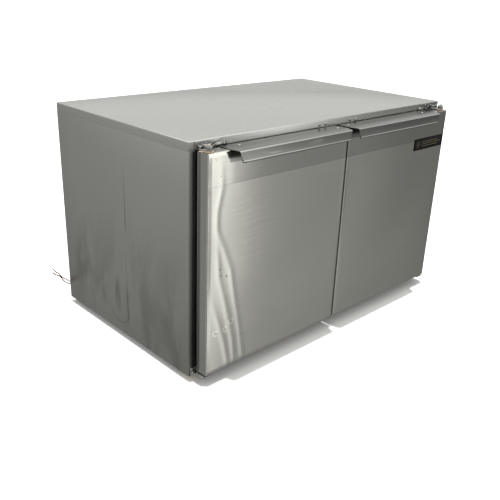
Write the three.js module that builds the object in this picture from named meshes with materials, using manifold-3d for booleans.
// Two-door undercounter refrigerator for a food truck or concession counter.
// Millimetres, +X along the width, +Y to the back, +Z up. The shapes are drawn in shop coordinates:
// x from the cabinet's left side, y from its front face, z from the floor. The group at the end moves
// them so that the origin is the bottom centre of the whole unit.
import * as THREE from 'three';
import { mergeVertices } from 'three/addons/utils/BufferGeometryUtils.js';
import Module from 'manifold-3d';

const wasm = await Module();
wasm.setup();

// Driving dimensions
const WIDTH = 1219;
const DEPTH = 710;
const TOP = 743;
const RAIL_HEIGHT = 19;
const LIP = 28;
const SHEET = 1.5;
const THIN = 1.2;
const GAP = 0.3;
const FLANGE = 15;

const FOAM_WALL = 50;
const FOAM_BACK = 540;
const CAVITY_BACK = 490;
const BREAKER_DEPTH = 14.6;
const BREAKER_WIDTH = 38;
const MULLION_WIDTH = 51;

const DOOR_EDGE = 22;
const DOOR_SPLIT = 6;
const DOOR_BOTTOM = 37;
const DOOR_TOP = 718;
const DOOR_REAR = -9;
const DOOR_FRONT = -55;
const PIVOT_X = 40;
const PIVOT_Y = -36;
const PIN = 4.8;
const BORE = 5.1;

const HANDLE_FRONT = -86;
const HANDLE_LENGTH = 492;
const HANDLE_DROP = 34;
const LEFT_HANDLE_X = 101;
const RIGHT_HANDLE_X = 613.5;

const SHELF_Z = 380;
const COVER_Y = 695;
const LEAD_RADIUS = 2;

// Levels and places that follow from them
const SIDE_TOP = TOP - LIP - GAP;
const FOAM_BOTTOM = RAIL_HEIGHT + SHEET + GAP;
const FOAM_TOP = TOP - SHEET - GAP;
const CAVITY_BOTTOM = FOAM_BOTTOM + FOAM_WALL;
const CAVITY_TOP = FOAM_TOP - FOAM_WALL;
const LINER_SIDE = FOAM_WALL + GAP + THIN;
const LINER_FLOOR = CAVITY_BOTTOM + GAP + THIN;
const LINER_CEILING = CAVITY_TOP - GAP - THIN;
const LINER_BACK = CAVITY_BACK - GAP - THIN;
const FRONT_RAIL_TOP = 44.7;
const MOUTH_SIDE = FLANGE + GAP + BREAKER_WIDTH;
const MOUTH_BOTTOM = LINER_FLOOR + 1.5;
const MOUTH_TOP = LINER_CEILING - 1.5;
const DOOR_MIDDLE = (WIDTH - DOOR_SPLIT) / 2;
const MIDDLE = WIDTH / 2;

const group = new THREE.Group();
group.position.set(-MIDDLE, -(DEPTH + HANDLE_FRONT) / 2, 0);

// Solids

function toSolid(geometry) {
  const bare = geometry.clone();
  bare.deleteAttribute('normal');
  bare.deleteAttribute('uv');
  const merged = mergeVertices(bare, 1e-4);
  return new wasm.Manifold(new wasm.Mesh({
    numProp: 3,
    vertProperties: new Float32Array(merged.attributes.position.array),
    triVerts: new Uint32Array(merged.index.array),
  }));
}

function toGeometry(solid) {
  const mesh = solid.getMesh();
  const geometry = new THREE.BufferGeometry();
  geometry.setAttribute('position', new THREE.BufferAttribute(new Float32Array(mesh.vertProperties), 3));
  geometry.setIndex(new THREE.BufferAttribute(new Uint32Array(mesh.triVerts), 1));
  geometry.computeVertexNormals();
  return geometry;
}

function block(x0, x1, y0, y1, z0, z1) {
  const geometry = new THREE.BoxGeometry(x1 - x0, y1 - y0, z1 - z0);
  geometry.translate((x0 + x1) / 2, (y0 + y1) / 2, (z0 + z1) / 2);
  return toSolid(geometry);
}

// A rod along X, Y or Z, from one place to another on that axis, through the two other coordinates.
function rod(axis, radius, from, to, a, b, sides = 20) {
  const geometry = new THREE.CylinderGeometry(radius, radius, to - from, sides);
  const middle = (from + to) / 2;
  if (axis === 'x') {
    geometry.rotateZ(Math.PI / 2);
    geometry.translate(middle, a, b);
  } else if (axis === 'y') {
    geometry.translate(a, middle, b);
  } else {
    geometry.rotateX(Math.PI / 2);
    geometry.translate(a, b, middle);
  }
  return toSolid(geometry);
}

// A flat outline in X and Y, given thickness from z0 to z1.
function slab(points, z0, z1) {
  const shape = new THREE.Shape(points.map(([x, y]) => new THREE.Vector2(x, y)));
  const geometry = new THREE.ExtrudeGeometry(shape, { depth: z1 - z0, bevelEnabled: false });
  geometry.translate(0, 0, z0);
  return toSolid(geometry);
}

// A body turned about a vertical axis: its profile is radius and height, and closes on itself.
function turned(profile, x, y, sides = 24) {
  const points = profile.map(([r, z]) => new THREE.Vector2(r, z));
  const geometry = new THREE.LatheGeometry(points, sides);
  geometry.rotateX(Math.PI / 2);
  geometry.translate(x, y, 0);
  return toSolid(geometry);
}

function tube(points, radius, sides, steps) {
  const section = new THREE.Shape();
  section.absarc(0, 0, radius, 0, 2 * Math.PI);
  const route = new THREE.CatmullRomCurve3(points.map((p) => new THREE.Vector3(...p)));
  return toSolid(new THREE.ExtrudeGeometry(section, {
    steps,
    curveSegments: sides / 2,
    extrudePath: route,
    bevelEnabled: false,
  }));
}

// The same solid on the other side of the cabinet's middle plane.
function mirrored(solid) {
  const geometry = toGeometry(solid);
  const place = geometry.attributes.position;
  const index = geometry.index;
  for (let i = 0; i < place.count; i += 1) {
    place.setX(i, WIDTH - place.getX(i));
  }
  for (let i = 0; i < index.count; i += 3) {
    const first = index.getX(i);
    index.setX(i, index.getX(i + 1));
    index.setX(i + 1, first);
  }
  return toSolid(geometry);
}

// Finishes: colour, roughness, metalness
const BRUSHED = [0xa3a39c, 0.38, 1.0];
const WORN_TOP = [0xbdbdb6, 0.5, 1.0];
const GALVANISED = [0x9a9c9b, 0.55, 1.0];
const CHROME = [0xd2d2d0, 0.14, 1.0];
const LINER = [0xc9cac6, 0.42, 0.9];
const BLACK_PLASTIC = [0x17181a, 0.5, 0.0];
const BLACK_RUBBER = [0x1d1d1e, 0.72, 0.0];
const NYLON = [0xcdb49c, 0.5, 0.0];
const FOAM = [0xd9c98e, 0.9, 0.0];
const FINS = [0xb4b7b8, 0.42, 1.0];
const BLACK_PAINT = [0x1c1c1e, 0.4, 0.2];
const COPPER = [0xb06a44, 0.3, 1.0];
const WIRE = [0xc4c4be, 0.3, 1.0];
const GREY_PLASTIC = [0x8b8d8e, 0.5, 0.0];
const BROWN_PVC = [0x5a3a28, 0.5, 0.0];
const DARK_PVC = [0x2b2b22, 0.5, 0.0];

function add(name, solid, [color, roughness, metalness]) {
  const finish = new THREE.MeshStandardMaterial({ color, roughness, metalness });
  const mesh = new THREE.Mesh(toGeometry(solid), finish);
  mesh.name = name;
  group.add(mesh);
}

// Cabinet shell

function worktop() {
  const pan = block(0, WIDTH, 0, DEPTH, TOP - LIP, TOP);
  return pan.subtract(block(SHEET, WIDTH - SHEET, SHEET, DEPTH - SHEET, 0, TOP - SHEET));
}

function sidePanel() {
  const outline = [[0, 0], [FLANGE, 0], [FLANGE, SHEET], [SHEET, SHEET], [SHEET, DEPTH - SHEET],
    [FLANGE, DEPTH - SHEET], [FLANGE, DEPTH], [0, DEPTH]];
  return slab(outline, RAIL_HEIGHT, SIDE_TOP);
}

function bottomPanel() {
  const inset = SHEET + GAP;
  return block(inset, WIDTH - inset, 40 + GAP, DEPTH - inset, RAIL_HEIGHT, RAIL_HEIGHT + SHEET);
}

function frontRail() {
  const inset = FLANGE + GAP;
  const face = block(inset, WIDTH - inset, 0, SHEET, RAIL_HEIGHT, FRONT_RAIL_TOP);
  return face.add(block(inset, WIDTH - inset, 0, 40, RAIL_HEIGHT, RAIL_HEIGHT + SHEET));
}

function rearCover() {
  let cover = block(SHEET + GAP, WIDTH - SHEET - GAP, COVER_Y, COVER_Y + SHEET, FOAM_BOTTOM, SIDE_TOP);
  const slots = 8;
  for (const x of [470, 760]) {
    for (let i = 0; i < slots; i += 1) {
      const z = 70 + 28 * i;
      cover = cover.subtract(block(x, x + 240, COVER_Y - 1, COVER_Y + 3, z, z + 9));
    }
  }
  return cover.subtract(rod('y', 8.6, COVER_Y - 1, COVER_Y + 3, 50, 62));
}

// Insulated box

function breakerFrame() {
  const inset = FLANGE + GAP;
  const frame = block(inset, WIDTH - inset, GAP, BREAKER_DEPTH, FRONT_RAIL_TOP + GAP, SIDE_TOP);
  return frame.subtract(block(MOUTH_SIDE, WIDTH - MOUTH_SIDE, -1, 20, MOUTH_BOTTOM, MOUTH_TOP));
}

function centerMullion() {
  const left = MIDDLE - MULLION_WIDTH / 2;
  const right = MIDDLE + MULLION_WIDTH / 2;
  const post = block(left, right, GAP, 40, MOUTH_BOTTOM + GAP, MOUTH_TOP - GAP);
  return post.subtract(block(left + SHEET, right - SHEET, GAP + SHEET, 41, 0, TOP));
}

function drainHole() {
  return block(408, 432, 470, 560, 498, 519);
}

function insulation() {
  const side = SHEET + GAP;
  const foam = block(side, WIDTH - side, side, FOAM_BACK, FOAM_BOTTOM, FOAM_TOP);
  const inner = block(FOAM_WALL, WIDTH - FOAM_WALL, 0, CAVITY_BACK, CAVITY_BOTTOM, CAVITY_TOP);
  const pocket = block(FLANGE, WIDTH - FLANGE, 0, BREAKER_DEPTH + GAP, FRONT_RAIL_TOP, SIDE_TOP + GAP);
  return foam.subtract(inner).subtract(pocket).subtract(drainHole());
}

function cabinetLiner() {
  const side = FOAM_WALL + GAP;
  const front = BREAKER_DEPTH + 2 * GAP;
  const shell = block(side, WIDTH - side, front, CAVITY_BACK - GAP, CAVITY_BOTTOM + GAP, CAVITY_TOP - GAP);
  const room = block(LINER_SIDE, WIDTH - LINER_SIDE, 0, LINER_BACK, LINER_FLOOR, LINER_CEILING);
  return shell.subtract(room).subtract(drainHole());
}

function pilasters() {
  const from = 90;
  const to = 510;
  const wide = 25;
  const deep = 6;
  const wall = LINER_SIDE + GAP;
  for (const [place, y] of [['front', 62], ['rear', 420]]) {
    const strip = block(wall, wall + deep, y, y + wide, from, to);
    add(`pilaster_left_${place}`, strip, LINER);
    add(`pilaster_right_${place}`, mirrored(strip), LINER);
  }
  const left = MIDDLE - wide / 2;
  add('pilaster_mullion', block(left, left + wide, 40 + GAP, 40 + GAP + deep, from, to), LINER);
  const back = LINER_BACK - GAP;
  add('pilaster_center_rear', block(left, left + wide, back - deep, back, from, to), LINER);
}

// A wire shelf: a border, two stiffeners under the wires, and wires from front to back.
function wireShelf() {
  const [left, right, front, back] = [62, 603, 52, 476];
  const border = 6;
  const wire = 3.6;
  const outer = block(left, right, front, back, SHELF_Z, SHELF_Z + border);
  const inside = block(left + border, right - border, front + border, back - border, 0, TOP);
  let shelf = outer.subtract(inside);
  for (const y of [190, 340]) {
    shelf = shelf.add(block(left + 2, right - 2, y, y + 5, SHELF_Z, SHELF_Z + 4.4));
  }
  const wires = 19;
  const pitch = (right - left - border) / (wires + 1);
  for (let i = 1; i <= wires; i += 1) {
    const x = left + border / 2 + pitch * i - wire / 2;
    shelf = shelf.add(block(x, x + wire, front + 2, back - 2, SHELF_Z + 3.2, SHELF_Z + 6.8));
  }
  return shelf;
}

// Hinges

function topHinge() {
  const leaf = block(20, 135, -3.3, -GAP, DOOR_TOP + 0.6, TOP - 2);
  const outline = [[20, -GAP], [20, -44], [30, -48], [50, -48], [58, -40], [116, -3], [116, -GAP]];
  const arm = slab(outline, DOOR_TOP + 2.7, DOOR_TOP + 5.7);
  const knuckle = rod('z', 10, DOOR_TOP + 2.7, DOOR_TOP + 19, PIVOT_X, PIVOT_Y);
  const pin = rod('z', PIN, DOOR_TOP - 21, DOOR_TOP + 4, PIVOT_X, PIVOT_Y);
  return leaf.add(arm).add(knuckle).add(pin);
}

function bottomHinge() {
  const leaf = block(3, 78, -3.3, -GAP, RAIL_HEIGHT + 2, DOOR_BOTTOM - 3);
  const ear = block(3, 19.5, -3.3, -GAP, RAIL_HEIGHT + 2, DOOR_BOTTOM + 10);
  const outline = [[12, -GAP], [12, -44], [24, -50], [50, -50], [58, -42], [64, -GAP]];
  const arm = slab(outline, DOOR_BOTTOM - 8, DOOR_BOTTOM - 4.5);
  const pin = rod('z', PIN, DOOR_BOTTOM - 7, DOOR_BOTTOM + 28, PIVOT_X, PIVOT_Y);
  return leaf.add(ear).add(arm).add(pin);
}

// Doors, drawn on the left side

function doorSkin() {
  const pan = block(DOOR_EDGE, DOOR_MIDDLE, DOOR_FRONT, -12, DOOR_BOTTOM, DOOR_TOP);
  const inside = block(
    DOOR_EDGE + THIN, DOOR_MIDDLE - THIN, DOOR_FRONT + THIN, 0, DOOR_BOTTOM + THIN, DOOR_TOP - THIN);
  const topHole = rod('z', 8.4, DOOR_TOP - 5, DOOR_TOP + 5, PIVOT_X, PIVOT_Y);
  const bottomHole = rod('z', 11.2, DOOR_BOTTOM - 5, DOOR_BOTTOM + 5, PIVOT_X, PIVOT_Y);
  return pan.subtract(inside).subtract(topHole).subtract(bottomHole);
}

function doorCore() {
  const inset = THIN + GAP;
  const foam = block(
    DOOR_EDGE + inset, DOOR_MIDDLE - inset, DOOR_FRONT + inset, -12, DOOR_BOTTOM + inset, DOOR_TOP - inset);
  const topHole = rod('z', 8.4, DOOR_TOP - 27, DOOR_TOP + 5, PIVOT_X, PIVOT_Y);
  const bottomHole = rod('z', 11.2, DOOR_BOTTOM - 5, DOOR_BOTTOM + 90, PIVOT_X, PIVOT_Y);
  return foam.subtract(topHole).subtract(bottomHole);
}

function doorLiner() {
  return block(DOOR_EDGE + 1, DOOR_MIDDLE - 1, -12 + GAP, DOOR_REAR - GAP, DOOR_BOTTOM + 1, DOOR_TOP - 1);
}

function doorGasket() {
  const [left, right, bottom, top, wide] = [PIVOT_X, DOOR_MIDDLE - 6, DOOR_BOTTOM + 18, DOOR_TOP - 18, 14];
  const ring = block(left, right, DOOR_REAR, -GAP, bottom, top);
  return ring.subtract(block(left + wide, right - wide, -20, 5, bottom + wide, top - wide));
}

function topBush() {
  const [flange, body] = [14, 8];
  const profile = [[BORE, DOOR_TOP - 26], [body, DOOR_TOP - 26], [body, DOOR_TOP + GAP],
    [flange, DOOR_TOP + GAP], [flange, DOOR_TOP + 2.4], [BORE, DOOR_TOP + 2.4], [BORE, DOOR_TOP - 26]];
  return turned(profile, PIVOT_X, PIVOT_Y);
}

// The self-closing spring cartridge: its bore takes the bottom pin, and it is closed above the pin.
function springCartridge() {
  const [flange, body, deep, long] = [15, 10.8, 34, 88];
  const profile = [[BORE, DOOR_BOTTOM - 4.2], [flange, DOOR_BOTTOM - 4.2], [flange, DOOR_BOTTOM - GAP],
    [body, DOOR_BOTTOM - GAP], [body, DOOR_BOTTOM + long], [0, DOOR_BOTTOM + long],
    [0, DOOR_BOTTOM + deep], [BORE, DOOR_BOTTOM + deep], [BORE, DOOR_BOTTOM - 4.2]];
  return turned(profile, PIVOT_X, PIVOT_Y);
}

// A bent sheet pull that covers the door's top edge, with mitred ends: a plate and a front flange.
function doorHandle(x) {
  const end = x + HANDLE_LENGTH;
  const mitre = 7;
  const plate = slab([[x, -8], [x, DOOR_FRONT - 2], [x + mitre, HANDLE_FRONT],
    [end - mitre, HANDLE_FRONT], [end, DOOR_FRONT - 2], [end, -8]], DOOR_TOP + GAP, DOOR_TOP + 2.1);
  const shape = new THREE.Shape([[x + mitre, 0], [x + mitre + 9, -HANDLE_DROP],
    [end - mitre - 9, -HANDLE_DROP], [end - mitre, 0]].map(([a, b]) => new THREE.Vector2(a, b)));
  const flange = new THREE.ExtrudeGeometry(shape, { depth: SHEET + GAP, bevelEnabled: false });
  flange.rotateX(Math.PI / 2);
  flange.translate(0, HANDLE_FRONT + SHEET + GAP, DOOR_TOP + 2.1);
  return plate.add(toSolid(flange));
}

function doors() {
  const parts = [
    ['door_skin', doorSkin(), BRUSHED],
    ['door_core', doorCore(), FOAM],
    ['door_liner', doorLiner(), LINER],
    ['door_gasket', doorGasket(), BLACK_RUBBER],
    ['door_top_bush', topBush(), NYLON],
    ['door_spring_cartridge', springCartridge(), NYLON],
  ];
  for (const [name, solid, look] of parts) {
    add(`left_${name}`, solid, look);
    add(`right_${name}`, mirrored(solid), look);
  }
  add('left_door_handle', doorHandle(LEFT_HANDLE_X), BRUSHED);
  add('right_door_handle', doorHandle(RIGHT_HANDLE_X), BRUSHED);
  add('name_plate', block(1004, 1192, DOOR_FRONT - 1.5, DOOR_FRONT - GAP, 587, 629), BLACK_PLASTIC);
}

// Evaporator, under the ceiling at the back of the insulated box

const FAN_X = 490;
const FAN_Z = 615;

function fanBlade(x, z, y0, y1, hub, reach, bore, count) {
  let wheel = rod('y', hub, y0, y1, x, z, 16);
  for (let i = 0; i < count; i += 1) {
    const blade = new THREE.BoxGeometry(reach - hub + 4, 1.6, hub * 1.9);
    blade.rotateX(0.5);
    blade.translate((reach + hub - 4) / 2, 0, 0);
    blade.rotateY((2 * Math.PI * i) / count);
    blade.translate(x, (y0 + y1) / 2, z);
    wheel = wheel.add(toSolid(blade));
  }
  return wheel.subtract(rod('y', bore, y0 - 1, y1 + 1, x, z, 16));
}

function evaporatorCover() {
  const [left, right, front, bottom] = [400, 820, 392, 540];
  const top = LINER_CEILING - GAP;
  let cover = block(left, right, front, LINER_BACK - GAP, bottom, top);
  cover = cover.subtract(block(left + THIN, right - THIN, front + THIN, CAVITY_BACK, 0, top - THIN));
  cover = cover.subtract(rod('y', 62, front - 5, front + 5, FAN_X, FAN_Z, 32));
  for (let i = 0; i < 5; i += 1) {
    const z = bottom + 28 + 24 * i;
    cover = cover.subtract(block(590, 730, front - 5, front + 5, z, z + 10));
  }
  return cover;
}

function evaporator() {
  add('evaporator_cover', evaporatorCover(), LINER);
  add('evaporator_coil', block(570, 800, 412, 476, 556, 676), FINS);
  const motor = rod('y', 22, 432, 480, FAN_X, FAN_Z).add(rod('y', 3, 416, 440, FAN_X, FAN_Z, 12));
  add('evaporator_fan_motor', motor, BLACK_PAINT);
  add('evaporator_fan_blade', fanBlade(FAN_X, FAN_Z, 404, 422, 14, 54, 3.2, 5), BLACK_PLASTIC);
  const pan = block(404, 816, 396, LINER_BACK - 2 * GAP, 522, 538);
  const room = block(404 + THIN, 816 - THIN, 396 + THIN, LINER_BACK - 2 * GAP - THIN, 522 + THIN, 540);
  add('drain_pan', pan.subtract(room).subtract(rod('z', 5, 515, 530, 420, 480, 12)), LINER);
  const route = [[420, 480, 521.6], [420, 480, 514], [420, 486, 508], [420, 500, 507.5],
    [420, 540, 506], [420, 556, 500], [420, 560, 486], [420, 560, 300], [420, 560, 90]];
  add('drain_tube', tube(route, 7, 8, 30), GREY_PLASTIC);
  add('thermostat', block(752, 806, 351, 392 - GAP, 588, 642), GREY_PLASTIC);
  const knob = rod('y', 17, 334, 351 - GAP, 779, 615, 24);
  add('thermostat_knob', knob.add(block(776.5, 781.5, 329, 336, 600, 630)), BLACK_PLASTIC);
}

// Machine compartment, behind the insulated box

const ROTOR_X = 645;
const ROTOR_Z = 170;

function condensingBase() {
  const [left, right, front, back] = [484, 1010, 548, 692];
  const plate = block(left, right, front, back, 32, 35);
  const foot = block(left, right, front, front + 3, FOAM_BOTTOM, 35);
  return plate.add(foot).add(block(left, right, back - 3, back, FOAM_BOTTOM, 35));
}

function compressor() {
  const can = new THREE.LatheGeometry([[0, 0], [52, 0], [66, 12], [70, 34], [70, 120], [66, 150],
    [50, 176], [24, 188], [0, 190]].map(([r, z]) => new THREE.Vector2(r, z)), 28);
  can.rotateX(Math.PI / 2);
  can.scale(1.22, 1, 1);
  can.translate(900, 620, 46);
  const feet = block(812, 988, 566, 674, 35 + GAP, 40);
  return toSolid(can).add(feet).add(block(850, 950, 590, 650, 38, 60));
}

function condenserShroud() {
  const [left, right, front, back, bottom, top] = [500, 790, 622, 645.7, 35 + GAP, 304];
  const box = block(left, right, front, back, bottom, top);
  const room = block(left + THIN, right - THIN, front + THIN, back + 1, bottom + THIN, top - THIN);
  return box.subtract(room).subtract(rod('y', 104, front - 5, front + 5, ROTOR_X, ROTOR_Z, 40));
}

function machineCompartment() {
  add('condensing_base', condensingBase(), GALVANISED);
  add('compressor', compressor(), BLACK_PAINT);
  add('condenser_coil', block(500, 790, 646, 688, 35 + GAP, 304), FINS);
  add('condenser_shroud', condenserShroud(), GALVANISED);
  const motor = rod('y', 38, 552, 596, ROTOR_X, ROTOR_Z, 24).add(rod('y', 4, 590, 618, ROTOR_X, ROTOR_Z, 12));
  const strap = block(ROTOR_X - 14, ROTOR_X + 14, 562, 582, 35 + GAP, 150);
  add('condenser_fan_motor', motor.add(strap), BLACK_PAINT);
  add('condenser_fan_blade', fanBlade(ROTOR_X, ROTOR_Z, 604, 624, 19, 97, 4.2, 5), FINS);
  const drier = rod('x', 12, 1046, 1166, 620, 100, 16).add(block(1096, 1116, 616, 624, FOAM_BOTTOM, 96));
  add('filter_drier', drier, COPPER);
  const route = [[900, 620, 236.3], [900, 620, 262], [900, 614, 330], [900, 596, 420],
    [900, 574, 474], [900, 562, 488], [900, 551, 490], [900, 541, 490]];
  add('suction_line', tube(route, 6, 8, 16), COPPER);
  const pan = block(330, 470, 548, 688, FOAM_BOTTOM, 62);
  add('condensate_pan', pan.subtract(block(332, 468, 550, 686, FOAM_BOTTOM + 2, 70)), GREY_PLASTIC);
}

// Supply: a junction box, its gland through the rear cover, and two cut leads

function supply() {
  const gland = [50, 62];
  const box = block(SHEET + GAP, 101.8, 640, COVER_Y - GAP, 30, 110);
  add('junction_box', box.subtract(rod('y', 8.3, 684, COVER_Y + 1, ...gland)), GALVANISED);
  const nut = rod('y', 12.5, COVER_Y + SHEET + GAP, 702, ...gland, 6);
  add('lead_gland', nut.add(rod('y', 8, 686, DEPTH - GAP, ...gland, 16)), BLACK_PLASTIC);
  const brown = [[53, 710, 65], [53, 716, 65], [50, 722, 64], [40, 725, 62], [24, 724, 64],
    [7, 722, 73], [-7, 722, 85], [-17, 722, 93], [-24, 722, 100], [-30, 722, 108], [-36, 722, 117],
    [-40, 722, 122], [-44.5, 722, 124.5], [-49, 722, 129], [-52, 722, 135], [-56, 722, 141]];
  add('lead_brown', tube(brown, LEAD_RADIUS, 8, 24), BROWN_PVC);
  const dark = [[47, 710, 60], [47, 717, 60], [44, 725, 58], [35, 730, 55], [20, 730, 56],
    [6, 728, 63], [-4, 728, 69], [-14, 728, 78], [-21, 728, 89], [-27, 728, 99], [-34, 728, 106],
    [-43, 727, 112], [-50, 726, 117], [-57, 725, 126]];
  add('lead_dark', tube(dark, LEAD_RADIUS, 8, 24), DARK_PVC);
}

function cabinet() {
  add('worktop', worktop(), WORN_TOP);
  add('side_panel_left', sidePanel(), BRUSHED);
  add('side_panel_right', mirrored(sidePanel()), BRUSHED);
  add('rear_cover', rearCover(), GALVANISED);
  add('bottom_panel', bottomPanel(), GALVANISED);
  const rail = block(30, 70, 40, 662, 0, RAIL_HEIGHT - GAP);
  add('base_rail_left', rail, GALVANISED);
  add('base_rail_right', mirrored(rail), GALVANISED);
  add('front_rail', frontRail(), BRUSHED);
  add('breaker_frame', breakerFrame(), BLACK_PLASTIC);
  add('center_mullion', centerMullion(), BRUSHED);
  add('insulation', insulation(), FOAM);
  add('cabinet_liner', cabinetLiner(), LINER);
  pilasters();
  add('shelf_left', wireShelf(), WIRE);
  add('shelf_right', mirrored(wireShelf()), WIRE);
}

function hinges() {
  add('top_hinge_left', topHinge(), CHROME);
  add('top_hinge_right', mirrored(topHinge()), CHROME);
  add('bottom_hinge_left', bottomHinge(), CHROME);
  add('bottom_hinge_right', mirrored(bottomHinge()), CHROME);
}

cabinet();
hinges();
doors();
evaporator();
machineCompartment();
supply();

export default group;
